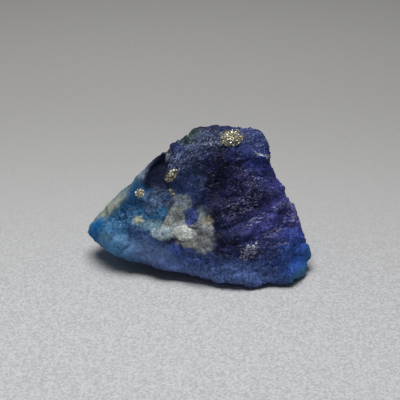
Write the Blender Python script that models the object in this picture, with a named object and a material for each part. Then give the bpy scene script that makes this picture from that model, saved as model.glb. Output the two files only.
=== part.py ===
"""Rough afghanite: one broken piece of blue rock with grains of pyrite, resting on a small flat spot.

The stone is worked in millimetres, with +X to the right of its best face and +Y away from whoever looks at
that face, and it is brought to metres at the end. It is cut from a block of hand-placed corners: hollows are
scooped out of the block, its skin gets the relief of broken rock, and pyrite crystals are fused into it.
"""

import math
import random

import bmesh
import bpy
from mathutils import Matrix, Vector, noise
from mathutils.bvhtree import BVHTree

MM = 0.001

# The view that the best face is made for: the eye looks along +Y and down by this angle
VIEW_TILT = math.radians(28)
VIEW_UP = Vector((0, math.sin(VIEW_TILT), math.cos(VIEW_TILT)))
VIEW_AWAY = Vector((0, math.cos(VIEW_TILT), -math.sin(VIEW_TILT)))

# Corners of the block that the stone was broken to
BLOCK_CORNERS = {
    "front_foot": (7.3, -1.0, 0.2),
    "right_foot": (11.5, 0.2, 0.3),
    "right_under": (13.3, 2.4, 0.3),
    "right_corner": (14.2, 4.2, 1.9),
    "right_low_shoulder": (13.0, 5.2, 5.5),
    "right_shoulder": (11.3, 6.8, 9.6),
    "right_top": (8.5, 9.0, 15.4),
    "top_right": (7.3, 10.0, 17.2),
    "top": (4.5, 10.2, 17.4),
    "top_mid": (1.4, 10.4, 17.4),
    "top_left": (-0.8, 10.4, 17.2),
    "top_left_low": (-3.0, 10.4, 15.7),
    "left_slope": (-6.5, 10.2, 11.6),
    "left_low_slope": (-10.0, 10.2, 8.35),
    "left_rim": (-13.8, 9.8, 4.7),
    "left_tip_top": (-14.9, 9.4, 4.0),
    "left_tip": (-15.2, 7.6, 3.3),
    "left_tip_under": (-12.9, 4.8, 2.3),
    "left_tip_back": (-13.2, 11.2, 3.0),
    "front_left_under": (-9.3, 2.9, 2.25),
    "front_mid_under": (-4.0, 0.9, 1.6),
    "rim_ridge_low": (-13.7, 8.2, 3.8),
    "rim_ridge_mid": (-10.3, 7.9, 7.9),
    "rim_ridge_high": (-7.2, 7.7, 10.7),
    "brow_left": (-1.2, 7.4, 15.6),
    "brow_right": (7.7, 7.4, 15.3),
    "belly_tip": (-12.3, 6.4, 4.3),
    "belly_left": (-8.1, 3.8, 6.8),
    "belly_mid": (-4.3, 2.1, 5.4),
    "belly": (1.9, 0.3, 4.2),
    "belly_right": (9.9, 1.1, 4.5),
    "back_top": (4.8, 12.8, 15.4),
    "back_ridge": (3.0, 15.6, 8.4),
    "back_left": (-6.6, 14.2, 6.2),
    "back_left_foot": (-7.6, 13.4, 2.0),
    "back_foot": (4.4, 15.6, 2.4),
    "back_right": (12.0, 10.4, 4.2),
    "back_right_foot": (11.2, 9.4, 1.5),
    "base_front": (5.6, 0.7, -0.3),
    "base_right": (9.2, 3.0, -0.3),
    "base_back_right": (8.2, 8.0, -0.3),
    "base_back": (3.6, 11.2, -0.3),
    "base_back_left": (-2.6, 10.4, -0.3),
    "base_left": (-2.0, 6.4, -0.3),
}

# Hollows scooped from the block. Each is part of a rounded cutter: the spot on the skin that it is cut from,
# the way that it runs, the way that it faces, its half length, half width and depth, and how far out of the
# skin its middle lies
HOLLOWS = {
    "dark_pocket": ((-5.3, 8.2, 11.7), (-0.48, -0.5, -0.72), (-0.5, -0.55, 0.65), (3.3, 1.5, 1.5), 0.4),
    "right_waist": ((9.0, 8.4, 12.6), (0, 1, 0.1), (1, 0, 0.2), (5.5, 2.3, 2.4), 2.0),
    "face_dip": ((1.9, 5.0, 11.9), (0.3, -0.5, -0.8), (0.1, -0.8, 0.6), (4.2, 2.6, 3.0), 2.3),
    "left_dip": ((-9.4, 6.2, 8.0), (-0.8, 0.2, -0.6), (-0.3, -0.6, 0.7), (3.6, 2.0, 2.4), 1.9),
    "back_shell": ((7.0, 13.2, 9.6), (0.2, -0.3, 1), (0.6, 0.8, 0), (6.0, 4.4, 4.6), 3.2),
    "back_left_shell": ((-3.0, 13.8, 9.6), (0.8, 0, 0.5), (-0.2, 0.9, 0.4), (5.4, 4.4, 4.8), 3.8),
    "under_left": ((-8.0, 9.2, 1.2), (1, 0.1, 0), (-0.2, 0, -1), (4.2, 3.4, 4.2), 3.5),
}

# The skin of broken rock: an even net of small faces, the swell of the broken faces, and the flat chips on them
VOXEL = 0.3
NOISE_SEED = 5
NORMAL_DIGITS = 3
SKIN_LOSS = 0.08
SWELL_SIZE, SWELL_HEIGHT = 6.0, 0.45
CHIP_SIZE, CHIP_HEIGHT, CHIP_STEPS, CHIP_TREAD = 4.2, 0.5, 3.5, 0.6
CHIP_BEND_SIZE, CHIP_BEND = 2.6, 0.7
CHIP_SEED = Vector((5.2, 1.7, 8.8))
CRAG_SIZE, CRAG_HEIGHT = 1.3, 0.1

# The ledges across the right half of the best face, which rise to the right. They fade in along X and out
# along Y, and only where the skin faces the eye
LEDGE_SPACING, LEDGE_HEIGHT, LEDGE_LIP = 2.2, 0.34, 0.24
LEDGE_RISE = math.radians(16)
LEDGE_WANDERS = ((4.0, 0.5), (1.3, 0.2))
LEDGE_START_X = (0.5, 4.5)
LEDGE_END_Y = (9.0, 12.0)
LEDGE_FACING = (-0.2, 0.4)

# Small flat chips knocked off where the skin stands out
EDGE_CHIPS, EDGE_CHIP_DEPTH, EDGE_CHIP_REACH = 80, 0.28, 2.2
EDGE_CHIP_TILT, EDGE_CHIP_RIM = 0.35, 0.7
EDGE_CHIP_SEED = 5

STONE_TRIANGLES = 7000
GROUND_SIZE = 60

# Clusters of pyrite crystals on the best face: how far right and how far up the middle of each is in the view,
# its half width and half height, how many crystals it has, and their edge
PYRITE_CLUSTERS = {
    "top": (3.99, 18.5, 1.25, 0.85, 15, 0.75),
    "ridge": (-3.62, 14.1, 0.42, 0.6, 6, 0.6),
    "left": (-7.36, 11.86, 0.45, 0.45, 5, 0.6),
    "seam": (-3.5, 12.0, 0.25, 0.2, 3, 0.4),
    "low": (-7.74, 8.36, 0.45, 0.35, 5, 0.5),
}
CRYSTAL_SINK = 0.28
CRYSTAL_SEED = 7
EYE_DISTANCE = 60
LEAST_FACING = 0.2

ROCK_BLUE = (0.03, 0.05, 0.22, 1)
ROCK_ROUGHNESS = 0.55


def only_mesh_of(obj):
    """The object's mesh with its modifiers applied, and the object left without them."""
    bpy.context.view_layer.update()
    shaped = bpy.data.meshes.new_from_object(obj.evaluated_get(bpy.context.evaluated_depsgraph_get()))
    obj.modifiers.clear()
    obj.data = shaped
    return shaped


def new_object(name, build_shape):
    """An object whose mesh is filled by build_shape, which gets a bmesh."""
    shape = bmesh.new()
    build_shape(shape)
    bmesh.ops.recalc_face_normals(shape, faces=shape.faces)
    mesh = bpy.data.meshes.new(name)
    shape.to_mesh(mesh)
    shape.free()
    obj = bpy.data.objects.new(name, mesh)
    bpy.context.scene.collection.objects.link(obj)
    return obj


def cut_or_join(stone, other, operation, solver="EXACT"):
    """Applies one Boolean of another object to the stone and removes that object."""
    boolean = stone.modifiers.new(other.name, "BOOLEAN")
    boolean.operation = operation
    boolean.solver = solver
    boolean.object = other
    only_mesh_of(stone)
    bpy.data.objects.remove(other)


def smooth_step(value, low, high):
    share = min(max((value - low) / (high - low), 0.0), 1.0)
    return share * share * (3 - 2 * share)


def terraced(height):
    """A height between -1 and 1 gathered on flat treads with short risers, as chipped rock has."""
    scaled = height * CHIP_STEPS
    level = math.floor(scaled)
    return (level + smooth_step(scaled - level, CHIP_TREAD, 1.0)) / CHIP_STEPS


def block():
    """The convex block through the hand-placed corners."""

    def shape_block(shape):
        for corner in BLOCK_CORNERS.values():
            shape.verts.new(corner)
        hull = bmesh.ops.convex_hull(shape, input=shape.verts)
        loose = {item for item in hull["geom_interior"] if isinstance(item, bmesh.types.BMVert)}
        bmesh.ops.delete(shape, geom=list(loose), context="VERTS")

    return new_object("afghanite_stone", shape_block)


def scoop_hollows(stone):
    """Cuts each hollow out of the stone with a rounded cutter."""
    for name, (spot, runs, faces, (length, width, depth), out) in HOLLOWS.items():
        cutter = new_object(name, lambda shape: bmesh.ops.create_icosphere(shape, subdivisions=3, radius=1))
        along = Vector(runs).normalized()
        across = Vector(faces).cross(along).normalized()
        facing = along.cross(across)
        turn = Matrix((along, across, facing)).transposed().to_4x4()
        middle = Vector(spot) + facing * out
        cutter.data.transform(Matrix.Translation(middle) @ turn @ Matrix.Diagonal((length, width, depth, 1)))
        cut_or_join(stone, cutter, "DIFFERENCE")


def ledge_height(point, normal):
    """Stepped ledges that cross the right half of the best face and make its right edge uneven."""
    up_face = -math.sin(LEDGE_RISE) * point.x + math.cos(LEDGE_RISE) * VIEW_UP.dot(point)
    wander = sum(amount * noise.noise(point / size) for size, amount in LEDGE_WANDERS)
    turn = up_face / LEDGE_SPACING + wander
    share = turn - math.floor(turn)
    profile = smooth_step(share, 0.0, LEDGE_LIP) - share
    on_right = smooth_step(point.x, *LEDGE_START_X) * (1 - smooth_step(point.y, *LEDGE_END_Y))
    facing = smooth_step(-normal.dot(VIEW_AWAY), *LEDGE_FACING)
    return LEDGE_HEIGHT * profile * on_right * facing


def broad_relief(point):
    """The swell of the broken faces and the flat steps on them, in millimetres, less what was lost all over."""
    swell = SWELL_HEIGHT * noise.fractal(point / SWELL_SIZE, 1.0, 2.0, 2)
    bent = point + CHIP_BEND * noise.noise_vector(point / CHIP_BEND_SIZE)
    return swell - SKIN_LOSS + CHIP_HEIGHT * terraced(noise.noise(bent / CHIP_SIZE + CHIP_SEED))


def fine_relief(point, normal):
    """The crags and ledges that cross the faces once the chips are off, in millimetres."""
    crags = CRAG_HEIGHT * (1 - 2 * abs(noise.fractal(point / CRAG_SIZE, 0.8, 2.0, 3)))
    return crags + ledge_height(point, normal)


def knock_off_edges(points, normals):
    """Cuts small flat chips from the skin where it stands out, as along the block's edges."""
    rng = random.Random(EDGE_CHIP_SEED)
    for _ in range(EDGE_CHIPS):
        number = rng.randrange(len(points))
        middle = points[number].copy()
        tilt = Vector([rng.uniform(-EDGE_CHIP_TILT, EDGE_CHIP_TILT) for _ in range(3)])
        facing = (normals[number] + tilt).normalized()
        depth = EDGE_CHIP_DEPTH * rng.uniform(0.5, 1.2)
        for point in points:
            offset = point - middle
            if offset.length < EDGE_CHIP_REACH:
                over = facing.dot(offset) + depth
                room = 1 - smooth_step(offset.length, EDGE_CHIP_RIM * EDGE_CHIP_REACH, EDGE_CHIP_REACH)
                point -= facing * room * min(max(over, 0.0), 2 * EDGE_CHIP_DEPTH)


def roughen(stone):
    """Turns the block's skin into an even net of small faces and raises the relief on it."""
    net = stone.modifiers.new("net", "REMESH")
    net.mode = "VOXEL"
    net.voxel_size = VOXEL
    mesh = only_mesh_of(stone)
    noise.seed_set(NOISE_SEED)
    normals = [Vector([round(axis, NORMAL_DIGITS) for axis in v.normal]) for v in mesh.vertices]
    points = [v.co + v.normal * broad_relief(v.co) for v in mesh.vertices]
    knock_off_edges(points, normals)
    for vertex, point, normal in zip(mesh.vertices, points, normals):
        vertex.co = point + normal * fine_relief(point, normal)
    mesh.update()
    thin = stone.modifiers.new("thin", "DECIMATE")
    thin.ratio = STONE_TRIANGLES / (2 * len(mesh.polygons))
    only_mesh_of(stone)


def flatten_foot(stone):
    """Cuts the underside off level at Z = 0, which leaves the small flat spot that the stone rests on."""
    ground = new_object("ground", lambda shape: bmesh.ops.create_cube(shape, size=GROUND_SIZE))
    ground.data.transform(Matrix.Translation((0, 0, -GROUND_SIZE / 2)))
    cut_or_join(stone, ground, "DIFFERENCE")


def crystals(stone):
    """One cube for each pyrite crystal, set into the skin at its own angle."""
    points = [v.co for v in stone.data.vertices]
    surface = BVHTree.FromPolygons(points, [p.vertices for p in stone.data.polygons])
    rng = random.Random(CRYSTAL_SEED)
    cubes = []
    for name, (across, up, half_width, half_height, count, edge) in PYRITE_CLUSTERS.items():
        for number in range(count):
            angle, reach = rng.uniform(0, 2 * math.pi), math.sqrt(rng.random())
            right = across + half_width * reach * math.cos(angle)
            high = up + half_height * reach * math.sin(angle)
            eye = Vector((right, 0, 0)) + VIEW_UP * high - VIEW_AWAY * EYE_DISTANCE
            place, normal, _, _ = surface.ray_cast(eye, VIEW_AWAY)
            size = edge * rng.uniform(0.7, 1.1)
            if -normal.dot(VIEW_AWAY) < LEAST_FACING:
                continue
            cube = new_object(f"{name}_{number}", lambda shape: bmesh.ops.create_cube(shape, size=size))
            turn = Matrix.Rotation(rng.uniform(0, math.pi), 4, "X")
            turn @= Matrix.Rotation(rng.uniform(0, math.pi), 4, "Z")
            cube.data.transform(Matrix.Translation(place - normal * CRYSTAL_SINK * size) @ turn)
            cubes.append(cube)
    return cubes


def fuse_crystals(stone):
    """Joins the pyrite crystals to the stone that they grew in."""
    for cube in crystals(stone):
        cut_or_join(stone, cube, "UNION", "MANIFOLD")


def settle(stone):
    """Puts the origin under the middle of the stone, on the surface it rests on, and turns millimetres to metres."""
    low = Vector([min(v.co[axis] for v in stone.data.vertices) for axis in range(3)])
    high = Vector([max(v.co[axis] for v in stone.data.vertices) for axis in range(3)])
    middle = (low + high) / 2
    stone.data.transform(Matrix.Scale(MM, 4) @ Matrix.Translation((-middle.x, -middle.y, -low.z)))


def rock_material():
    """Deep ultramarine rock, matt where it is broken."""
    material = bpy.data.materials.new("blue_rock")
    material.use_nodes = True
    surface = material.node_tree.nodes["Principled BSDF"]
    surface.inputs["Base Color"].default_value = ROCK_BLUE
    surface.inputs["Roughness"].default_value = ROCK_ROUGHNESS
    return material


def main():
    for obj in list(bpy.data.objects):
        bpy.data.objects.remove(obj)
    stone = block()
    scoop_hollows(stone)
    roughen(stone)
    flatten_foot(stone)
    fuse_crystals(stone)
    settle(stone)
    stone.data.materials.clear()
    stone.data.materials.append(rock_material())


main()
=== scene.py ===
"""The looks of a rough afghanite: a broken piece of blue rock with a pale patch of matrix and pyrite grains.

Lengths are in millimetres unless a line says otherwise, in the part's own frame: +X to the right of the best
face, +Y away from it, +Z up. MM brings them to metres where a mesh or a light needs it.
"""

import math
import random

import bmesh
import bpy
from mathutils import Matrix, Vector, noise
from mathutils.bvhtree import BVHTree


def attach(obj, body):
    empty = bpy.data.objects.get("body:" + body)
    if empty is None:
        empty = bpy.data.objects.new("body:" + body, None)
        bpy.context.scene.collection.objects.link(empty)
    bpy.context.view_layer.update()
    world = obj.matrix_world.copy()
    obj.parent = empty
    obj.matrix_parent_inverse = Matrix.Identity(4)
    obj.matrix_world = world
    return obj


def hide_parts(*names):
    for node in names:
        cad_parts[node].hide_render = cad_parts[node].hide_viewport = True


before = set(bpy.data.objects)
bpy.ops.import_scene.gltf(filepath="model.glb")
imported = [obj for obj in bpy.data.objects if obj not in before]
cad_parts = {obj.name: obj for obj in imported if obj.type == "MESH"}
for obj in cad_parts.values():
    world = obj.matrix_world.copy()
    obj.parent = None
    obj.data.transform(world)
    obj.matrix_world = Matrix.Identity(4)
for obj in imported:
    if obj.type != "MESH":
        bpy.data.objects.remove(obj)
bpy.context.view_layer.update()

# The camera. The stone was looked down on from its best face, with a long lens from a hand's breadth away.
# The pixels named further down are those of the 400 by 400 frame that this camera gives.
MM = 0.001
FRAME_PIXELS = 400
LENS_ANGLE = math.radians(20)
LOOK_DOWN = math.radians(28)
CAMERA_DISTANCE, NEAREST_SEEN = 142, 10
AIM = Vector((0.25, -1.7, 9.26))

VIEW_UP = Vector((0, math.sin(LOOK_DOWN), math.cos(LOOK_DOWN)))
VIEW_AWAY = Vector((0, math.cos(LOOK_DOWN), -math.sin(LOOK_DOWN)))
EYE = AIM - VIEW_AWAY * CAMERA_DISTANCE

camera = bpy.data.objects.new("camera", bpy.data.cameras.new("camera"))
bpy.context.scene.collection.objects.link(camera)
bpy.context.scene.camera = camera
camera.data.angle = LENS_ANGLE
camera.data.clip_start = NEAREST_SEEN * MM
camera.location = EYE * MM
camera.rotation_euler = (math.pi / 2 - LOOK_DOWN, 0, 0)

# The stone itself: one broken piece of massive blue rock, grown together with a pale patch of matrix. Its
# skin is fresh break: sugary with small cleavage faces, waxy and smooth low on the left, and finely ledged
# on the right half.
STONE_VOXEL = 0.14
SMOOTHING_PASSES, SMOOTHING_SHARE = 16, 0.5
TIP_FROM, TIP_WEAR = -13.4, 30

FACE_SIZES, FACE_SPREAD = ((1.5, 0.10), (0.6, 0.045)), 37.1
SUGAR_SIZE, SUGAR_HEIGHT = 0.42, 0.028
SUGAR_FRACTAL = (0.7, 2.0, 2)
GRAIN_SIZE, GRAIN_HEIGHT = 0.9, 0.05
LEDGE_RISE = math.radians(16)
LEDGE_RUNS = ((1.1, 0.09), (0.45, 0.045))
LEDGE_LIP = 0.3
LEDGE_WANDERS = ((4.0, 0.9), (1.0, 0.35))
LEDGE_BREAKS, LEDGE_BREAK_EDGE, LEDGE_BREAK_PLACE = 1.6, 0.3, (7, 1)
# How much flatter the matrix and the waxy rock are than the rest
FACES_LESS_IN_MATRIX, RELIEF_LESS_IN_WAXY = 0.6, 0.75

# Where the skin changes. Each is a rounded body in the rock: the pixel that its middle shows at, its half
# width, half height and half depth as seen from the camera, its turn in degrees, and how gradually it ends
MATRIX = (((180, 206), (2.3, 1.6, 3.0), 20, 0.25), ((186, 228), (3.6, 2.6, 3.0), 0, 0.25),
          ((205, 244), (1.6, 1.6, 3.0), 0, 0.3), ((160, 233), (1.8, 1.1, 3.0), 0, 0.3))
LEDGES = (((258, 215), (6.6, 9.0, 9.0), 25, 0.3),)
WAXY = (((134, 250), (7.0, 2.2, 5.0), -18, 0.35), ((120, 196), (7.0, 1.5, 5.0), 43, 0.4),
        ((93, 232), (2.4, 2.4, 6.0), 0, 0.4), ((160, 170), (1.6, 2.4, 3.0), -30, 0.3),
        ((304, 272), (1.6, 1.6, 5.0), 0, 0.5))
# Lumps and dents of the best face, given the same way, with how far each stands out
LUMPS = (
    ("blue_lump", (157, 201), (1.8, 1.6, 2.0), 25, 0.4, 0.30),
    ("white_lump", (184, 233), (1.3, 0.9, 2.0), -5, 0.4, 0.26),
    ("pale_lump", (160, 233), (1.3, 0.9, 2.0), 0, 0.4, 0.20),
    ("bay", (147, 222), (1.3, 0.8, 2.0), 25, 0.5, -0.22),
    ("hollow", (216, 188), (1.1, 1.5, 2.0), -10, 0.5, -0.35),
    ("high_dent", (200, 170), (1.3, 0.9, 2.0), 10, 0.5, -0.22),
    ("brow", (205, 141), (4.2, 0.9, 2.5), 6, 0.4, 0.16),
    ("mid_ridge", (236, 204), (3.6, 0.6, 2.5), 12, 0.5, 0.18),
    ("low_ridge", (250, 226), (4.4, 0.6, 2.5), 22, 0.5, 0.16),
    ("edge_ridge", (284, 204), (2.6, 0.6, 2.5), 20, 0.5, 0.16),
    ("tip_underside", (95, 246), (3.4, 1.4, 2.2), -38, 0.5, 1.20),
    ("front_left_edge", (152, 267), (1.6, 1.2, 3.0), -15, 0.5, 0.22),
    ("left_belly", (118, 257), (1.6, 1.2, 3.0), -20, 0.5, -0.05),
    ("crown_left", (190, 133), (1.6, 1.0, 4.0), 30, 0.5, 0.26),
    ("crown_middle", (214, 127), (1.2, 1.0, 4.0), 5, 0.5, -0.16),
    ("crown_right", (243, 126), (1.4, 1.0, 4.0), 5, 0.5, 0.14),
    ("shoulder_right", (293, 207), (1.4, 2.4, 5.0), 20, 0.5, 0.28),
    ("waist_right", (270, 162), (1.2, 1.0, 5.0), 0, 0.5, 0.16),
    ("corner_right", (270, 146), (1.0, 1.2, 5.0), 0, 0.5, -0.14),
    ("right_edge", (305, 240), (1.4, 3.4, 5.0), 20, 0.5, -0.18),
    ("pocket", (161, 174), (1.4, 1.7, 2.0), -35, 0.25, -0.38),
    ("notch", (168, 150), (0.5, 0.6, 4.0), 45, 0.4, -0.30),
    ("pocket_top", (145, 166), (1.3, 1.0, 4.0), 40, 0.5, -0.24),
    ("foot_corner", (307, 266), (0.9, 0.9, 4.0), 0, 0.5, -0.28),
    ("tip_point", (91, 233), (1.0, 1.3, 2.0), 0, 0.6, 0.20),
    ("left_rim", (119, 189), (3.0, 1.0, 4.0), 43, 0.5, -0.32),
    ("right_foot", (299, 277), (1.8, 1.4, 4.0), 40, 0.5, 0.38),
    ("front_foot", (240, 286), (2.0, 1.2, 3.0), -10, 0.5, 0.34),
    ("front_strip", (206, 276), (1.4, 0.9, 3.0), -10, 0.5, -0.16),
    ("strip_step", (231, 282), (1.6, 0.8, 3.0), -10, 0.5, 0.24),
)

stone_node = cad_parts["afghanite_stone"]
stone_skin = BVHTree.FromPolygons(
    [v.co / MM for v in stone_node.data.vertices],
    [p.vertices for p in stone_node.data.polygons],
)


def on_stone(pixel):
    """The place on the stone's skin that shows at a pixel of the frame, or nearest to one just off it."""
    half = FRAME_PIXELS / 2
    reach = math.tan(LENS_ANGLE / 2) / half
    sideways, upward = (pixel[0] - half) * reach, (half - pixel[1]) * reach
    ray = VIEW_AWAY + Vector((sideways, 0, 0)) + VIEW_UP * upward
    place = stone_skin.ray_cast(EYE, ray.normalized())[0]
    if place is None:
        place = stone_skin.find_nearest(EYE + ray * CAMERA_DISTANCE)[0]
    return place


def smooth_step(value, low, high):
    share = min(max((value - low) / (high - low), 0.0), 1.0)
    return share * share * (3 - 2 * share)


def in_view(point):
    """A place as seen from the camera's side: how far right, how far up and how far away it is."""
    return Vector((point.x, VIEW_UP.dot(point), VIEW_AWAY.dot(point)))


def middle_of(spot):
    """The middle of a body, from the pixel that it shows at or from its place in the stone."""
    return in_view(on_stone(spot) if len(spot) == 2 else Vector(spot))


def rounded_body(spot, half_sizes, turn, softness):
    """A function that gives how much of a point, as seen from the camera, is in a body, from 0 to 1."""
    middle = middle_of(spot)
    turned = Matrix.Rotation(-math.radians(turn), 3, "Z")

    def share(seen):
        offset = turned @ (seen - middle)
        reach = math.hypot(*(offset[axis] / half_sizes[axis] for axis in range(3)))
        return 1 - smooth_step(reach, 1 - softness, 1 + softness)

    return share


def any_of(bodies):
    shares = [rounded_body(*body) for body in bodies]
    return lambda seen: max(share(seen) for share in shares)


matrix_share, ledges_share, waxy_share = any_of(MATRIX), any_of(LEDGES), any_of(WAXY)
lumps = [(rounded_body(*body), height) for _, *body, height in LUMPS]


def face_height(point, size, height):
    """Small flat faces: each cell of a loose net of points is a plane with its own tilt."""
    _, middles = noise.voronoi(point / size)
    tilt = noise.cell_vector(middles[0] * FACE_SPREAD)
    return height * 2 * (point / size - middles[0]).dot(tilt)


def ledge_height(point):
    """Fine broken ledges that cross the right half of the best face and rise to the right."""
    up_face = -math.sin(LEDGE_RISE) * point.x + math.cos(LEDGE_RISE) * VIEW_UP.dot(point)
    wander = sum(amount * noise.noise(point / size) for size, amount in LEDGE_WANDERS)
    total = 0.0
    for spacing, height in LEDGE_RUNS:
        turn = up_face / spacing + wander * LEDGE_RUNS[0][0] / spacing
        share = turn - math.floor(turn)
        gaps = noise.noise(point / LEDGE_BREAKS + Vector((*LEDGE_BREAK_PLACE, spacing)))
        broken = smooth_step(gaps, -LEDGE_BREAK_EDGE, LEDGE_BREAK_EDGE)
        total += height * broken * (smooth_step(share, 0.0, LEDGE_LIP) - share)
    return total


def fine_relief(point):
    """How far the broken skin stands out from the CAD's at a point."""
    seen = in_view(point)
    matrix, waxy = matrix_share(seen), waxy_share(seen)
    faces = sum(face_height(point, size, height) for size, height in FACE_SIZES)
    sugar = SUGAR_HEIGHT * noise.fractal(point / SUGAR_SIZE, *SUGAR_FRACTAL)
    grains = GRAIN_HEIGHT * (0.5 - noise.voronoi(point / GRAIN_SIZE)[0][0])
    out = sum(height * share(seen) for share, height in lumps)
    out += (faces * (1 - FACES_LESS_IN_MATRIX * matrix) + sugar) * (1 - RELIEF_LESS_IN_WAXY * waxy)
    return out + grains * matrix + ledge_height(point) * ledges_share(seen)


stone = bpy.data.objects.new("rough_stone", stone_node.data.copy())
bpy.context.scene.collection.objects.link(stone)
net = stone.modifiers.new("net", "REMESH")
net.mode = "VOXEL"
net.voxel_size = STONE_VOXEL * MM
smoothing = stone.modifiers.new("smoothing", "SMOOTH")
smoothing.factor = SMOOTHING_SHARE
smoothing.iterations = SMOOTHING_PASSES
bpy.context.view_layer.update()
stone_mesh = bpy.data.meshes.new_from_object(stone.evaluated_get(bpy.context.evaluated_depsgraph_get()))
stone.modifiers.clear()
stone.data = stone_mesh
skin_normals = [v.normal.copy() for v in stone_mesh.vertices]
for vertex, skin_normal in zip(stone_mesh.vertices, skin_normals):
    place = vertex.co / MM
    raised = place + skin_normal * fine_relief(place)
    raised.z = max(raised.z, 0.0)
    vertex.co = raised * MM

# The left tip is worn round
worn = bmesh.new()
worn.from_mesh(stone_mesh)
tip = [corner for corner in worn.verts if corner.co.x < TIP_FROM * MM]
for _ in range(TIP_WEAR):
    bmesh.ops.smooth_vert(
        worn, verts=tip, factor=SMOOTHING_SHARE, use_axis_x=True, use_axis_y=True, use_axis_z=True
    )
worn.to_mesh(stone_mesh)
worn.free()
stone_mesh.shade_smooth()

# A screen's curve from 0 to 255: a straight foot up to SCREEN_FOOT, and a power above it
SCREEN_WHITE, SCREEN_FOOT, FOOT_SLOPE, CURVE_OFFSET, CURVE_POWER = 255, 10, 12.92, 0.055, 2.4


def linear(red, green, blue):
    """A colour as light values, from its red, green and blue on a screen."""
    light = []
    for value in (red, green, blue):
        share = value / SCREEN_WHITE
        curved = ((share + CURVE_OFFSET) / (1 + CURVE_OFFSET)) ** CURVE_POWER
        light.append(share / FOOT_SLOPE if value < SCREEN_FOOT else curved)
    return (*light, 1)


class Nodes:
    """Adds nodes to one tree. An input, given by name or number, takes a value or another node's output."""

    def __init__(self, tree):
        self.tree = tree

    def add(self, kind, inputs, **settings):
        node = self.tree.nodes.new(kind)
        for name, value in settings.items():
            setattr(node, name, value)
        for name, value in inputs.items():
            if isinstance(value, bpy.types.NodeSocket):
                self.tree.links.new(value, node.inputs[name])
            else:
                node.inputs[name].default_value = value
        return node

    def math(self, operation, first, second=0.0, third=0.0):
        return self.add("ShaderNodeMath", {0: first, 1: second, 2: third}, operation=operation).outputs[0]

    def line(self, value, slope, start):
        """The value times a slope, plus a start."""
        return self.math("MULTIPLY_ADD", value, slope, start)

    def less(self, mask, share):
        """1, and less by a share where the mask is."""
        return self.line(mask, -share, 1.0)

    def vector(self, operation, first, second=(0, 0, 0), scale=1.0):
        node = self.add("ShaderNodeVectorMath", {0: first, 1: second, 3: scale}, operation=operation)
        return node.outputs[1 if operation in ("LENGTH", "DOT_PRODUCT", "DISTANCE") else 0]

    def shift(self, colour):
        """A random colour as a shift that can point any way."""
        return self.vector("SUBTRACT", colour, (0.5, 0.5, 0.5))

    def blend(self, amount, first, second, how="MIX"):
        # A Mix node has sockets for each kind of value: 6, 7 and the output 2 are those of colours
        inputs = {0: amount, 6: first, 7: second}
        return self.add("ShaderNodeMix", inputs, data_type="RGBA", blend_type=how).outputs[2]

    def step(self, value, low, high):
        inputs = {0: value, 1: low, 2: high}
        return self.add("ShaderNodeMapRange", inputs, interpolation_type="SMOOTHSTEP").outputs[0]

    def noise(self, place, scale, detail, roughness):
        inputs = {"Vector": place, "Scale": scale, "Detail": detail, "Roughness": roughness}
        return self.add("ShaderNodeTexNoise", inputs)

    def turn(self, place, angle):
        inputs = {"Vector": place, "Angle": angle}
        return self.add("ShaderNodeVectorRotate", inputs, rotation_type="Z_AXIS").outputs[0]


def new_group(name, inputs, outputs):
    """A shader node group with named sockets, its nodes' helper and its two ends."""
    tree = bpy.data.node_groups.new(name, "ShaderNodeTree")
    for socket, kind in inputs.items():
        tree.interface.new_socket(socket, in_out="INPUT", socket_type=kind)
    for socket, kind in outputs.items():
        tree.interface.new_socket(socket, in_out="OUTPUT", socket_type=kind)
    return tree, Nodes(tree), tree.nodes.new("NodeGroupInput"), tree.nodes.new("NodeGroupOutput")


# One rounded body in the rock, used alike for the minerals' colours and for painted shade and light: its
# amount inside it, and 0 outside
colour_body, at, ins, outs = new_group(
    "colour body",
    {"Place": "NodeSocketVector", "Middle": "NodeSocketVector", "Turn": "NodeSocketFloat",
     "Half Sizes": "NodeSocketVector", "Softness": "NodeSocketFloat", "Amount": "NodeSocketFloat"},
    {"Share": "NodeSocketFloat"},
)
offset = at.vector("SUBTRACT", ins.outputs["Place"], ins.outputs["Middle"])
sized = at.vector("DIVIDE", at.turn(offset, ins.outputs["Turn"]), ins.outputs["Half Sizes"])
soft = ins.outputs["Softness"]
outside = at.step(at.vector("LENGTH", sized), at.math("SUBTRACT", 1.0, soft), at.math("ADD", 1.0, soft))
share = at.math("MULTIPLY", at.math("SUBTRACT", 1.0, outside), ins.outputs["Amount"])
colour_body.links.new(share, outs.inputs["Share"])

# The small grains of the rock and of the paper's tooth: each grain has a chance from 0 to 1 and a shift that
# are its own, and Core is how far a place is from the grain's middle
grain_cells, at, ins, outs = new_group(
    "grain cells",
    {"Place": "NodeSocketVector", "Size": "NodeSocketFloat"},
    {"Chance": "NodeSocketFloat", "Shift": "NodeSocketVector", "Core": "NodeSocketFloat"},
)
per_length = at.math("DIVIDE", 1.0, ins.outputs["Size"])
cells = at.add("ShaderNodeTexVoronoi", {"Vector": ins.outputs["Place"], "Scale": per_length})
cell_chance = at.add("ShaderNodeSeparateXYZ", {0: cells.outputs["Color"]}).outputs[2]
grain_cells.links.new(cell_chance, outs.inputs["Chance"])
grain_cells.links.new(at.shift(cells.outputs["Color"]), outs.inputs["Shift"])
grain_cells.links.new(cells.outputs["Distance"], outs.inputs["Core"])
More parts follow.
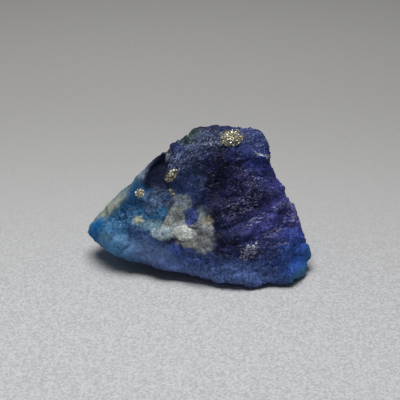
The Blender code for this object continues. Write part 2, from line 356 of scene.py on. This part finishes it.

# Colours laid over the indigo rock in this order, each in a rounded body of the rock: the pixel of its
# middle, its half width, half height and half depth seen from the camera, its turn in degrees, how gradually
# it ends, how much of it shows, and its colour. Most are the rock's own colours; the shadow beside the blue
# lump and the dark hollow are painted shade, and the lavender face and the lower strip are made lighter by
# painted light
MINERALS_AND_PAINTED_LIGHT = (
    ("blue_lower_right", (280, 264), (4.9, 3.0, 9.0), 5, 0.6, 0.85, (46, 64, 118)),
    ("violet_band", (275, 222), (3.7, 2.4, 6.0), 20, 0.6, 0.8, (72, 75, 147)),
    ("violet_right", (288, 206), (1.8, 5.2, 9.0), 25, 0.6, 0.85, (72, 72, 148)),
    ("teal_right", (301, 261), (2.4, 3.2, 7.0), 15, 0.8, 0.8, (60, 108, 204)),
    ("teal_right_edge", (309, 262), (0.7, 3.0, 7.0), -12, 0.7, 0.8, (46, 104, 156)),
    ("teal_right_foot", (302, 278), (1.6, 0.6, 5.0), 35, 0.6, 0.8, (66, 122, 158)),
    ("blue_top", (250, 140), (3.4, 2.0, 6.0), -20, 0.5, 0.8, (44, 60, 120)),
    ("blue_waist", (262, 168), (2.0, 1.6, 5.0), -20, 0.5, 0.8, (34, 48, 114)),
    ("grey_blue_brow", (208, 139), (4.6, 1.6, 5.0), 5, 0.5, 0.85, (34, 46, 77)),
    ("streaked_face", (186, 160), (2.4, 3.2, 4.0), -35, 0.5, 0.7, (40, 54, 86)),
    ("brow_band", (197, 139), (1.4, 0.5, 2.5), 40, 0.6, 0.35, (104, 118, 142)),
    ("blue_facet", (177, 147), (0.7, 0.8, 2.0), 45, 0.5, 0.8, (30, 44, 112)),
    ("pale_arc", (202, 184), (1.0, 0.35, 3.0), 25, 0.6, 0.5, (104, 114, 156)),
    ("green_shoulder", (188, 135), (1.6, 0.7, 3.0), 35, 0.35, 0.85, (54, 74, 66)),
    ("blue_middle", (168, 200), (4.4, 3.0, 5.0), 20, 0.5, 0.8, (52, 72, 122)),
    ("left_teal", (118, 214), (5.6, 4.6, 9.0), 40, 0.5, 1.0, (44, 98, 140)),
    ("deep_teal", (128, 202), (3.0, 1.3, 4.0), 48, 0.6, 0.85, (18, 60, 106)),
    ("cream_rim", (110, 205), (2.8, 0.85, 5.0), 43, 0.5, 0.95, (160, 166, 150)),
    ("cream_rim_high", (132, 181), (3.6, 0.5, 4.0), 43, 0.7, 0.6, (88, 124, 140)),
    ("rim_line", (96, 220), (1.6, 0.35, 4.0), 55, 0.7, 0.8, (110, 142, 140)),
    ("pale_rim_top", (146, 171), (1.3, 0.8, 3.0), 43, 0.5, 0.9, (134, 150, 168)),
    ("rim_shade", (119, 208), (1.7, 0.3, 4.0), 48, 0.6, 0.6, (60, 96, 112)),
    ("blue_lump", (156, 202), (1.7, 1.5, 3.0), 20, 0.4, 0.8, (84, 108, 144)),
    ("lump_right", (168, 203), (0.6, 0.9, 3.0), -15, 0.25, 0.8, (30, 38, 92)),
    ("teal_hem", (158, 215), (1.7, 0.6, 3.0), 35, 0.3, 0.9, (46, 108, 152)),
    ("teal_pale", (150, 225), (1.6, 0.6, 2.0), 10, 0.4, 0.8, (122, 156, 172)),
    ("sky_face", (117, 244), (3.2, 1.4, 5.0), -24, 0.6, 0.95, (90, 146, 198)),
    ("sky_light", (114, 238), (2.0, 0.5, 5.0), -10, 0.7, 0.5, (120, 164, 196)),
    ("tip_teal", (96, 230), (1.7, 0.9, 5.0), 57, 0.3, 0.95, (2, 102, 168)),
    ("tip_sheen", (110, 226), (1.8, 0.4, 3.0), 20, 0.7, 0.2, (66, 142, 172)),
    # Painted light: this face looks down, and its own lavender blue is made lighter to stand in for light
    # thrown up from the paper
    ("lavender_face", (156, 253), (3.9, 1.5, 5.0), -14, 0.5, 0.9, (104, 130, 178)),
    ("blue_seam", (144, 236), (2.6, 0.8, 3.0), -25, 0.35, 0.8, (66, 92, 148)),
    # Painted light: the lower strip looks down, and its own blue is made lighter to stand in for light
    # thrown up from the paper
    ("lower_strip", (218, 272), (7.2, 1.7, 5.0), -9, 0.5, 0.85, (86, 112, 172)),
    ("strip_hem", (215, 279), (6.0, 0.4, 5.0), -11, 0.6, 0.6, (92, 108, 158)),
    ("strip_top", (198, 257), (3.2, 1.0, 4.0), -12, 0.35, 0.9, (60, 80, 136)),
    ("matrix_top", (180, 205), (1.6, 1.3, 3.0), 25, 0.15, 0.9, (138, 150, 162)),
    ("matrix_blue", (203, 211), (1.1, 0.8, 3.0), 0, 0.3, 0.7, (84, 96, 124)),
    ("matrix_grey", (186, 224), (2.8, 1.9, 3.0), 10, 0.12, 0.95, (138, 144, 144)),
    ("matrix_right", (206, 231), (1.0, 1.3, 3.0), 0, 0.2, 0.9, (146, 150, 156)),
    ("matrix_left", (172, 219), (1.9, 0.75, 3.0), 55, 0.12, 0.9, (142, 148, 146)),
    ("matrix_low", (202, 241), (1.5, 1.5, 3.0), 0, 0.3, 0.9, (128, 132, 134)),
    ("matrix_pale", (162, 233), (1.6, 0.8, 3.0), 0, 0.15, 0.9, (168, 188, 198)),
    ("matrix_white", (184, 233), (1.4, 0.9, 3.0), -5, 0.15, 0.95, (208, 214, 208)),
    ("matrix_cream", (208, 221), (0.7, 0.6, 3.0), -45, 0.3, 0.8, (158, 152, 132)),
    ("matrix_low_lump", (189, 244), (1.05, 0.6, 3.0), 0, 0.15, 0.9, (146, 150, 144)),
    ("island", (191, 216), (0.95, 1.1, 3.0), -20, 0.12, 0.95, (54, 70, 132)),
    ("blue_spot", (174, 249), (0.75, 0.75, 2.0), 0, 0.2, 0.9, (82, 112, 192)),
    ("pocket_foot", (162, 186), (1.7, 0.9, 3.0), 35, 0.5, 0.55, (36, 38, 72)),
    ("dark_pocket", (159.5, 170), (1.5, 2.8, 4.0), -38, 0.2, 0.97, (18, 26, 51)),
    ("dark_seam", (160, 187), (1.8, 0.4, 3.0), 42, 0.5, 0.7, (36, 36, 60)),
    # Painted shade: the hollow is darkened where shade falls in it
    ("shaded_hollow", (217, 190), (1.2, 1.6, 4.0), 0, 0.5, 0.7, (18, 20, 54)),
    ("beige_grain", (138, 220), (0.7, 0.5, 2.0), 0, 0.4, 0.95, (164, 170, 148)),
    ("brow_vein", (213, 144), (1.5, 0.12, 3.0), 5, 0.5, 0.9, (150, 164, 184)),
    ("right_vein", (262, 155), (1.1, 0.11, 3.0), -18, 0.5, 0.9, (186, 196, 208)),
    ("cliff_edge", (168.5, 155), (0.2, 0.9, 2.0), -8, 0.5, 0.95, (134, 140, 158)),
    ("facet_line", (177, 158), (0.95, 0.11, 2.0), 45, 0.5, 0.9, (112, 124, 168)),
    # Painted shadow beside the blue lump
    ("lump_shadow", (171, 204), (0.35, 0.65, 3.0), -20, 0.5, 0.8, (22, 26, 70)),
    ("island_rim", (193, 227), (0.7, 0.16, 2.0), -20, 0.5, 0.8, (20, 22, 50)),
    ("lavender_bit", (178, 243), (0.45, 0.3, 2.0), 0, 0.4, 0.7, (160, 160, 180)),
    ("pale_flecks", (250, 251), (1.1, 0.5, 3.0), 35, 0.6, 0.35, (140, 140, 172)),
    ("pyrite_bed_top", (232, 138), (1.35, 0.95, 2.0), 10, 0.35, 0.8, (124, 122, 104)),
    ("pyrite_bed_ridge", (171.5, 175.5), (0.9, 0.5, 2.0), 50, 0.4, 0.7, (120, 118, 98)),
    ("pyrite_bed_left", (140, 193), (0.5, 0.5, 2.0), 40, 0.4, 0.7, (140, 136, 110)),
    ("pyrite_bed_seam", (172, 192), (0.5, 0.2, 2.0), -45, 0.4, 0.7, (112, 110, 92)),
)
# The same on the sides that the best face hides, with each middle as a place in the stone
BACK_MINERALS = (
    ("back_blue", (3.0, 7.0, 9.5), (4.6, 3.2, 4.0), 30, 0.6, 0.8, (44, 60, 122)),
    ("back_violet", (9.5, 6.0, 4.0), (3.6, 4.0, 4.5), 20, 0.6, 0.8, (50, 52, 118)),
    ("back_teal", (-8.5, 6.0, 4.5), (4.4, 3.0, 4.0), -25, 0.6, 0.85, (40, 84, 128)),
    ("back_grey", (-3.0, 7.0, 3.6), (2.8, 1.5, 3.0), 15, 0.3, 0.9, (128, 136, 140)),
    ("back_white", (-3.8, 7.2, 3.0), (1.2, 0.8, 3.0), 0, 0.3, 0.9, (190, 196, 192)),
    ("back_vein", (2.0, 7.0, 8.0), (5.0, 0.2, 5.0), 32, 0.5, 0.7, (146, 156, 184)),
    ("crown_blue", (6.0, 4.6, 15.6), (2.4, 1.6, 3.0), 0, 0.6, 0.7, (50, 68, 130)),
    ("under_grey", (2.0, 0.0, 0.4), (3.0, 2.0, 3.0), 0, 0.5, 0.7, (84, 92, 116)),
)
# Pale crumbs drawn out along the broken ledges, partly pale grains and partly painted highlight where the
# ledges
# catch the light: how steeply they rise to the right in degrees, how long, how high and how deep each is,
# their colour, how much of it shows, and the bodies where they lie thick
CRUMBS_AND_HIGHLIGHTS = (
    (19, (0.60, 0.17, 0.5), (160, 158, 204), 0.9, (
        ((243, 207), (1.9, 0.9, 5.0), 10, 0.5), ((281, 205), (1.5, 0.6, 6.0), 25, 0.5),
        ((257, 220), (1.5, 0.4, 5.0), 25, 0.6), ((275, 231), (1.6, 0.5, 5.0), 25, 0.6),
        ((291, 219), (1.0, 0.9, 5.0), 25, 0.6), ((289, 204), (0.9, 1.3, 5.0), 25, 0.5),
        ((284, 242), (0.7, 0.4, 5.0), 10, 0.6))),
    (24, (0.34, 0.16, 0.4), (112, 110, 156), 0.45, (
        ((249, 182), (2.1, 1.4, 5.0), 10, 0.8), ((268, 195), (1.8, 0.7, 5.0), 15, 0.8),
        ((228, 216), (1.2, 1.2, 5.0), 10, 0.9), ((262, 250), (2.4, 1.2, 5.0), 10, 0.9))),
    (34, (0.40, 0.20, 0.4), (228, 228, 242), 1.0, (((250, 251), (1.5, 0.8, 3.0), 35, 0.4),)),
    (30, (0.60, 0.17, 0.5), (112, 128, 162), 0.42, (
        ((212, 140), (3.8, 1.2, 4.0), 5, 0.5), ((213, 181), (1.3, 0.8, 3.0), 30, 0.6),
        ((197, 150), (2.0, 1.2, 3.0), 30, 0.6), ((254, 138), (2.4, 1.2, 4.0), -15, 0.6))),
    (56, (0.80, 0.17, 0.5), (128, 142, 178), 0.65, (((181, 155), (1.5, 2.4, 4.0), -35, 0.5),)),
    (20, (0.50, 0.16, 0.5), (118, 166, 200), 0.35, (
        ((158, 202), (1.7, 1.6, 3.0), 20, 0.5), ((118, 222), (3.0, 0.9, 4.0), 30, 0.5),
        ((128, 236), (3.4, 0.7, 4.0), -10, 0.6))),
)
# How the colours are broken up. A noise is given by its scale, detail and roughness, a step by its two ends,
# and what rises or falls evenly with a mask or a noise by its slope and its start
BEND_NOISE, BEND = (1 / 1.1, 3.0, 0.6), 1.1
INDIGO_DARK, INDIGO_LIGHT = (11, 13, 38), (36, 41, 92)
INDIGO_NOISE, INDIGO_STEP = (0.6, 4.0, 0.65), (0.3, 0.7)
MOSAIC_SIZE, MOSAIC_SHIFT, MOSAIC_CALM = 0.22, 0.4, 0.8
SPECKLE_CALM = 0.6
CLOUD_NOISE, CLOUD_SHADE = (2.4, 4.0, 0.75), (1.9, 0.05)
LUMP_SIZE, LUMP_BEND, LUMP_SHADE = 1.05, 0.8, (0.40, 0.80)
SEAM_WIDTH, SEAM_DARK = 0.09, 0.32
STREAK_NOISE = (1.0, 1.0, 0.5)
MATRIX_RISE, MATRIX_STREAK = math.radians(48), (0.5, 0.17, 0.4)
MATRIX_STREAK_STEP, MATRIX_STREAK_SHADE = (0.35, 0.65), (0.3, 0.85)
# The crumbs are partly pale grains and partly painted highlight where the ledges catch the light
CRUMB_HIGHLIGHT_WOBBLE_NOISE, CRUMB_HIGHLIGHT_WOBBLE = (1.6, 2.0, 0.5), 0.35
CRUMB_HIGHLIGHT_LEAST, CRUMB_HIGHLIGHT_EDGE, CRUMB_HIGHLIGHT_GRAIN_STEP, CRUMB_HIGHLIGHT_FIELD_STEP = (-0.09, 0.60), 0.07, (-0.2, 0.8), (0.0, 0.6)
# Painted glints: single grains painted pale in the colour, standing in for cleavage faces that catch the
# lamp
GLINT_SIZE, PAINTED_GLINT_TONE = 0.15, (206, 208, 240)
GLINT_NOISE, GLINT_LEAST, GLINT_EDGE = (0.9, 3.0, 0.6), (-0.35, 1.10), 0.15
GLINT_RARER_IN_WAXY, GLINT_MORE_IN_CRUMB_HIGHLIGHTS = 0.12, 0.08
GLINT_RIM, GLINT_SHOWS = (0.2, 0.6), (-0.4, 0.85)
SPECK_SIZE, SPECK_CHANCE, SPECK_RIM = 0.8, (0.76, 0.80), (0.12, 0.26)
SPECK_TONE, SPECK_SHOWS = (36, 52, 100), 0.75
# The bumps, and the shine of the grains' faces
SPARKLE_SIZE, SPARKLE_TILT, SPARKLE_CALM = 0.18, 0.35, 0.8
PITS_NOISE, CRUMB_HIGHLIGHTS_RISE, SEAM_DEPTH, BUMPS_CALM = (6.0, 3.0, 0.6), 0.3, 0.4, 0.6
BUMP_STRENGTH, BUMP_HEIGHT = 0.6, 0.08
SHINY_FACES, FACE_ROUGHNESS, CALM_ROUGHER = (0.0, 0.25), (0.45, 0.2), 0.15
ROCK_SPECULAR = 0.2

blue_rock = bpy.data.materials.new("blue_rock")
blue_rock.use_nodes = True
at = Nodes(blue_rock.node_tree)
surface = blue_rock.node_tree.nodes["Principled BSDF"]
in_metres = at.add("ShaderNodeTexCoord", {}).outputs["Object"]
in_rock = at.vector("SCALE", in_metres, scale=1 / MM)
# Turned about X by the camera's slope, a place reads right, away and up, which is put in the bodies' order
tipped = at.add("ShaderNodeMapping", {"Vector": in_rock, "Rotation": (LOOK_DOWN, 0, 0)}).outputs[0]
tipped = at.add("ShaderNodeSeparateXYZ", {0: tipped}).outputs
seen = at.add("ShaderNodeCombineXYZ", {0: tipped[0], 1: tipped[2], 2: tipped[1]}).outputs[0]


def body_share(name, place, middle, half_sizes, turn, softness, amount):
    body = at.add("ShaderNodeGroup", {}, node_tree=colour_body, label=name)
    at.tree.links.new(place, body.inputs["Place"])
    sockets = ("Middle", "Half Sizes", "Turn", "Softness", "Amount")
    for socket, value in zip(sockets, (middle, half_sizes, -math.radians(turn), softness, amount)):
        body.inputs[socket].default_value = value
    return body.outputs[0]


def grains_of(place, size):
    grains = at.add("ShaderNodeGroup", {}, node_tree=grain_cells)
    at.tree.links.new(place, grains.inputs["Place"])
    grains.inputs["Size"].default_value = size
    return grains.outputs


def ground(bodies, place):
    total = None
    for spot, half_sizes, turn, softness in bodies:
        share = body_share("ground", place, middle_of(spot), half_sizes, turn, softness, 1.0)
        total = share if total is None else at.math("MAXIMUM", total, share)
    return total


def both(first, second):
    return at.math("MULTIPLY", first, second)


def without(value):
    return at.math("SUBTRACT", 1.0, value)


# The bodies' edges wander, and each small grain takes one colour, except where the rock is waxy or matrix
bent = at.shift(at.noise(in_rock, *BEND_NOISE).outputs["Color"])
wandering = at.vector("ADD", seen, at.vector("SCALE", bent, scale=BEND))
waxy = ground(WAXY, wandering)
calm = at.math("MAXIMUM", waxy, ground(MATRIX, wandering))
mosaic = grains_of(in_rock, MOSAIC_SIZE)
mosaic_reach = at.line(calm, -MOSAIC_CALM * MOSAIC_SHIFT, MOSAIC_SHIFT)
place = at.vector("ADD", wandering, at.vector("SCALE", mosaic["Shift"], scale=mosaic_reach))

mottle = at.step(at.noise(in_rock, *INDIGO_NOISE).outputs["Fac"], *INDIGO_STEP)
colour = at.blend(mottle, linear(*INDIGO_DARK), linear(*INDIGO_LIGHT))
for name, spot, half_sizes, turn, softness, amount, tone in BACK_MINERALS + MINERALS_AND_PAINTED_LIGHT:
    share = body_share(name, place, middle_of(spot), half_sizes, turn, softness, amount)
    colour = at.blend(share, colour, linear(*tone))
matrix = ground(MATRIX, place)

# The matrix is lumpy and faintly streaked: each lump has its own grey, and dark seams run between them
lump_place = at.vector("ADD", in_rock, at.vector("SCALE", bent, scale=LUMP_BEND))
lump = grains_of(lump_place, LUMP_SIZE)
seam_inputs = {"Vector": lump_place, "Scale": 1 / LUMP_SIZE}
seam = at.add("ShaderNodeTexVoronoi", seam_inputs, feature="DISTANCE_TO_EDGE").outputs["Distance"]
seam = without(at.step(seam, 0.0, SEAM_WIDTH))
drawn = at.vector("DIVIDE", at.turn(seen, -MATRIX_RISE), MATRIX_STREAK)
drawn = at.step(at.noise(drawn, *STREAK_NOISE).outputs["Fac"], *MATRIX_STREAK_STEP)
lump_shade = both(at.line(lump["Chance"], *LUMP_SHADE), at.line(drawn, *MATRIX_STREAK_SHADE))
lump_shade = both(lump_shade, at.less(seam, SEAM_DARK))
lump_shade = at.math("ADD", both(at.math("SUBTRACT", lump_shade, 1.0), matrix), 1.0)

# Each grain is a little lighter or darker than the next, less so where the rock is waxy or matrix
speckle = both(at.math("SUBTRACT", mosaic["Chance"], 0.5), at.less(waxy, SPECKLE_CALM))
speckle = both(speckle, at.less(matrix, SPECKLE_CALM))
cloud = at.line(at.noise(in_rock, *CLOUD_NOISE).outputs["Fac"], *CLOUD_SHADE)
shade = both(both(at.math("ADD", speckle, 1.0), cloud), lump_shade)
colour = at.blend(1.0, colour, at.vector("SCALE", (1, 1, 1), scale=shade), "MULTIPLY")

# Pale crumbs along the ledges and up the brow, partly pale grains and partly painted highlight, and painted
# glints:
# single grains painted pale all over the sugary rock, as if they caught the lamp
wobble = at.shift(at.noise(in_rock, *CRUMB_HIGHLIGHT_WOBBLE_NOISE).outputs["Color"])
crumb_highlight_place = at.vector("ADD", seen, at.vector("SCALE", wobble, scale=CRUMB_HIGHLIGHT_WOBBLE))
ridges, fields = 0.0, 0.0
for rise, size, tone, most, bodies in CRUMBS_AND_HIGHLIGHTS:
    along = at.vector("DIVIDE", at.turn(crumb_highlight_place, -math.radians(rise)), size)
    crumb_highlight = at.noise(along, *STREAK_NOISE).outputs["Fac"]
    field = ground(bodies, wandering)
    least = at.line(field, *CRUMB_HIGHLIGHT_LEAST)
    bright = at.step(crumb_highlight, least, at.math("ADD", least, CRUMB_HIGHLIGHT_EDGE))
    bright = both(bright, at.step(mosaic["Chance"], *CRUMB_HIGHLIGHT_GRAIN_STEP))
    bright = both(both(bright, most), at.step(field, *CRUMB_HIGHLIGHT_FIELD_STEP))
    colour = at.blend(bright, colour, linear(*tone))
    ridges = at.math("MAXIMUM", ridges, bright)
    fields = at.math("MAXIMUM", fields, field)
# Painted highlights: the glints are painted into the colour, fewer in the waxy rock and more among the
# crumbs
glints = grains_of(in_rock, GLINT_SIZE)
least = at.line(at.noise(in_rock, *GLINT_NOISE).outputs["Fac"], *GLINT_LEAST)
least = at.line(waxy, GLINT_RARER_IN_WAXY, least)
least = at.line(fields, -GLINT_MORE_IN_CRUMB_HIGHLIGHTS, least)
painted_glint = at.step(glints["Chance"], least, at.math("ADD", least, GLINT_EDGE))
painted_glint = both(painted_glint, without(at.step(glints["Core"], *GLINT_RIM)))
colour = at.blend(both(painted_glint, at.line(waxy, *GLINT_SHOWS)), colour, linear(*PAINTED_GLINT_TONE))

# Dark specks in the waxy rock
specks = grains_of(in_rock, SPECK_SIZE)
speck = both(at.step(specks["Chance"], *SPECK_CHANCE), without(at.step(specks["Core"], *SPECK_RIM)))
colour = at.blend(both(both(speck, waxy), SPECK_SHOWS), colour, linear(*SPECK_TONE))
at.tree.links.new(colour, surface.inputs["Base Color"])

# Cleavage faces of single grains tilt their own way and glint; between them the break is dull
sparkle = grains_of(in_rock, SPARKLE_SIZE)
sparkle_tilt = at.line(waxy, -SPARKLE_CALM * SPARKLE_TILT, SPARKLE_TILT)
tilt = at.vector("SCALE", sparkle["Shift"], scale=sparkle_tilt)
normal = at.vector("ADD", at.add("ShaderNodeNewGeometry", {}).outputs["Normal"], tilt)
normal = at.vector("NORMALIZE", normal)
smoother = at.math("MAXIMUM", matrix, waxy)
height = at.line(ridges, CRUMB_HIGHLIGHTS_RISE, at.noise(in_rock, *PITS_NOISE).outputs["Fac"])
height = both(height, at.less(smoother, BUMPS_CALM))
height = at.line(both(seam, matrix), -SEAM_DEPTH, height)
bump_inputs = {"Strength": BUMP_STRENGTH, "Distance": BUMP_HEIGHT * MM, "Normal": normal, "Height": height}
bump = at.add("ShaderNodeBump", bump_inputs)
at.tree.links.new(bump.outputs[0], surface.inputs["Normal"])
rough = at.line(at.step(sparkle["Chance"], *SHINY_FACES), *FACE_ROUGHNESS)
rough = at.line(smoother, CALM_ROUGHER, rough)
at.tree.links.new(rough, surface.inputs["Roughness"])
surface.inputs["Specular IOR Level"].default_value = ROCK_SPECULAR
stone_mesh.materials.clear()
stone_mesh.materials.append(blue_rock)
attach(stone, "root")
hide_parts("afghanite_stone")

# The pyrite: six clusters of tiny brassy cubes, grown half sunk in the skin of the rock. The brightest sits
# on the brow, and the palest low on the left.
PYRITE_SEED = 23
PYRITE_SUNK = 0.3
PYRITE_BEVEL = 0.09
# How large an edge is at a cluster's middle, how much smaller at its rim, and how uneven a cube's sides are
EDGE_AT_MIDDLE, EDGE_LESS_AT_RIM, SIDE_SPREAD = 1.15, 0.4, (0.8, 1.2)
BRASS_FRESH, BRASS_TARNISHED = (240, 236, 213), (214, 204, 168)
TARNISH_NOISE, TARNISH_STEP, BRASS_ROUGHNESS = (3.0, 3.0, 0.6), (0.4, 0.65), (0.4, 0.2)
GROOVES_PER_MM, GROOVE_BEND, GROOVE_STRENGTH, GROOVE_DEPTH = 9.0, 2.0, 0.2, 0.02
# The pixel of each cluster's middle, its half width and half height in pixels, its turn in degrees, how many
# crystals it has, and their smallest and largest edge
PYRITE = {
    "pyrite_top": ((232, 138), (11.5, 7.5), 10, 190, (0.09, 0.20)),
    "pyrite_ridge": ((171.5, 175.5), (8.0, 4.0), 50, 64, (0.09, 0.20)),
    "pyrite_left": ((140, 193), (4.2, 4.6), 40, 42, (0.11, 0.24)),
    "pyrite_seam_high": ((170, 190), (1.5, 1.1), -30, 7, (0.10, 0.18)),
    "pyrite_seam_low": ((174, 194), (1.3, 0.9), -30, 6, (0.10, 0.16)),
    "pyrite_low": ((138, 220), (3.2, 2.8), 0, 10, (0.08, 0.14)),
}

pyrite = bpy.data.materials.new("pyrite")
pyrite.use_nodes = True
at = Nodes(pyrite.node_tree)
brass = pyrite.node_tree.nodes["Principled BSDF"]
in_metres = at.add("ShaderNodeTexCoord", {}).outputs["Object"]
in_rock = at.vector("SCALE", in_metres, scale=1 / MM)
tarnish = at.noise(in_rock, *TARNISH_NOISE).outputs["Fac"]
brassy = at.blend(at.step(tarnish, *TARNISH_STEP), linear(*BRASS_FRESH), linear(*BRASS_TARNISHED))
at.tree.links.new(brassy, brass.inputs["Base Color"])
at.tree.links.new(at.line(tarnish, *BRASS_ROUGHNESS), brass.inputs["Roughness"])
groove_inputs = {"Vector": in_rock, "Scale": GROOVES_PER_MM, "Distortion": GROOVE_BEND}
grooves = at.add("ShaderNodeTexWave", groove_inputs, bands_direction="DIAGONAL").outputs["Fac"]
scored_inputs = {"Strength": GROOVE_STRENGTH, "Distance": GROOVE_DEPTH * MM, "Height": grooves}
scored = at.add("ShaderNodeBump", scored_inputs)
at.tree.links.new(scored.outputs[0], brass.inputs["Normal"])
brass.inputs["Metallic"].default_value = 1.0

broken_skin = BVHTree.FromPolygons(
    [v.co / MM for v in stone_mesh.vertices],
    [p.vertices for p in stone_mesh.polygons],
)
chance = random.Random(PYRITE_SEED)
for name, (middle, half_sizes, turn, count, edges) in PYRITE.items():
    cluster = bmesh.new()
    lean = math.radians(turn)
    for _ in range(count):
        reach, way = math.sqrt(chance.random()), chance.uniform(0, 2 * math.pi)
        sideways, upward = half_sizes[0] * reach * math.cos(way), half_sizes[1] * reach * math.sin(way)
        pixel = (
            middle[0] + sideways * math.cos(lean) - upward * math.sin(lean),
            middle[1] - sideways * math.sin(lean) - upward * math.cos(lean),
        )
        edge = chance.uniform(*edges) * (EDGE_AT_MIDDLE - EDGE_LESS_AT_RIM * reach)
        spin = [chance.uniform(0, math.pi) for _ in range(3)]
        sides = [edge * chance.uniform(*SIDE_SPREAD) for _ in range(3)]
        place, facing, _, _ = broken_skin.find_nearest(on_stone(pixel))
        made = bmesh.ops.create_cube(cluster, size=1.0)["verts"]
        bmesh.ops.scale(cluster, vec=[side * MM for side in sides], verts=made)
        rims = list({rim for corner in made for rim in corner.link_edges})
        width = edge * PYRITE_BEVEL * MM
        bevelled = bmesh.ops.bevel(cluster, geom=rims, offset=width, segments=1, affect="EDGES")
        made = list({corner for face in bevelled["faces"] for corner in face.verts})
        about_x, about_y, about_z = (Matrix.Rotation(spin[n], 3, axis) for n, axis in enumerate("XYZ"))
        bmesh.ops.rotate(cluster, matrix=about_x @ about_y @ about_z, verts=made)
        out_of_rock = facing * edge * (0.5 - PYRITE_SUNK)
        bmesh.ops.translate(cluster, vec=(place + out_of_rock) * MM, verts=made)
    mesh = bpy.data.meshes.new(name)
    cluster.to_mesh(mesh)
    cluster.free()
    mesh.materials.append(pyrite)
    crystals = bpy.data.objects.new(name, mesh)
    bpy.context.scene.collection.objects.link(crystals)
    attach(crystals, "root")

# The studio: a sheet of pale grey paper with a fine tooth, darker towards the back by painted shade that
# stands in for the lamp's light falling off, and one wide soft lamp overhead in a dim room.
FLOOR_SIZE = 3000
# Painted shade: the darker back grey, and the depths over which it takes over, stand in for the lamp's light
# falling off
PAPER_FRONT, PAPER_BACK_IN_PAINTED_SHADE = linear(210, 211, 213), linear(175, 174, 172)
PAINTED_FALLOFF_REACH = (-38, 58)
PAPER_TOOTH, TOOTH_REACH, TOOTH_SHADE = 0.24, (-12.0, 20.0), (-0.26, 0.32)
NAP_NOISE, NAP_STRENGTH, NAP_HEIGHT = (1 / PAPER_TOOTH, 2.0, 0.6), 0.3, 0.05
PAPER_ROUGHNESS, PAPER_SPECULAR = 0.9, 0.2
LAMP_PLACE, LAMP_SIZE, LAMP_POWER = (-12, 8, 190), 115, 0.335
ROOM_LIGHT, ROOM_STRENGTH = (1, 1, 1, 1), 0.07

floor_shape = bmesh.new()
bmesh.ops.create_grid(floor_shape, x_segments=1, y_segments=1, size=FLOOR_SIZE * MM / 2)
floor_mesh = bpy.data.meshes.new("paper_floor")
floor_shape.to_mesh(floor_mesh)
floor_shape.free()
floor = bpy.data.objects.new("paper_floor", floor_mesh)
bpy.context.scene.collection.objects.link(floor)
paper = bpy.data.materials.new("paper")
paper.use_nodes = True
at = Nodes(paper.node_tree)
sheet = paper.node_tree.nodes["Principled BSDF"]
on_paper = at.vector("SCALE", at.add("ShaderNodeTexCoord", {}).outputs["Object"], scale=1 / MM)
depth = at.add("ShaderNodeSeparateXYZ", {0: on_paper}).outputs[1]
# Painted shade: the paper is blended from its front grey to a darker grey towards the back, for the lamp's
# falloff
painted_falloff = at.step(depth, *PAINTED_FALLOFF_REACH)
tooth = at.math("SUBTRACT", grains_of(on_paper, PAPER_TOOTH)["Chance"], 0.5)
fleck = at.math("MULTIPLY_ADD", tooth, at.line(at.step(depth, *TOOTH_REACH), *TOOTH_SHADE), 1.0)
grey = at.vector("SCALE", at.blend(painted_falloff, PAPER_FRONT, PAPER_BACK_IN_PAINTED_SHADE), scale=fleck)
at.tree.links.new(grey, sheet.inputs["Base Color"])
nap = at.noise(on_paper, *NAP_NOISE).outputs["Fac"]
felt = at.add("ShaderNodeBump", {"Strength": NAP_STRENGTH, "Distance": NAP_HEIGHT * MM, "Height": nap})
at.tree.links.new(felt.outputs[0], sheet.inputs["Normal"])
sheet.inputs["Roughness"].default_value = PAPER_ROUGHNESS
sheet.inputs["Specular IOR Level"].default_value = PAPER_SPECULAR
floor_mesh.materials.append(paper)

lamp = bpy.data.lights.new("overhead", "AREA")
lamp.size = LAMP_SIZE * MM
lamp.energy = LAMP_POWER
overhead = bpy.data.objects.new("overhead", lamp)
bpy.context.scene.collection.objects.link(overhead)
overhead.location = Vector(LAMP_PLACE) * MM
world = bpy.data.worlds.new("studio")
bpy.context.scene.world = world
world.use_nodes = True
world.node_tree.nodes["Background"].inputs["Color"].default_value = ROOM_LIGHT
world.node_tree.nodes["Background"].inputs["Strength"].default_value = ROOM_STRENGTH
bpy.context.scene.view_settings.view_transform = "Standard"
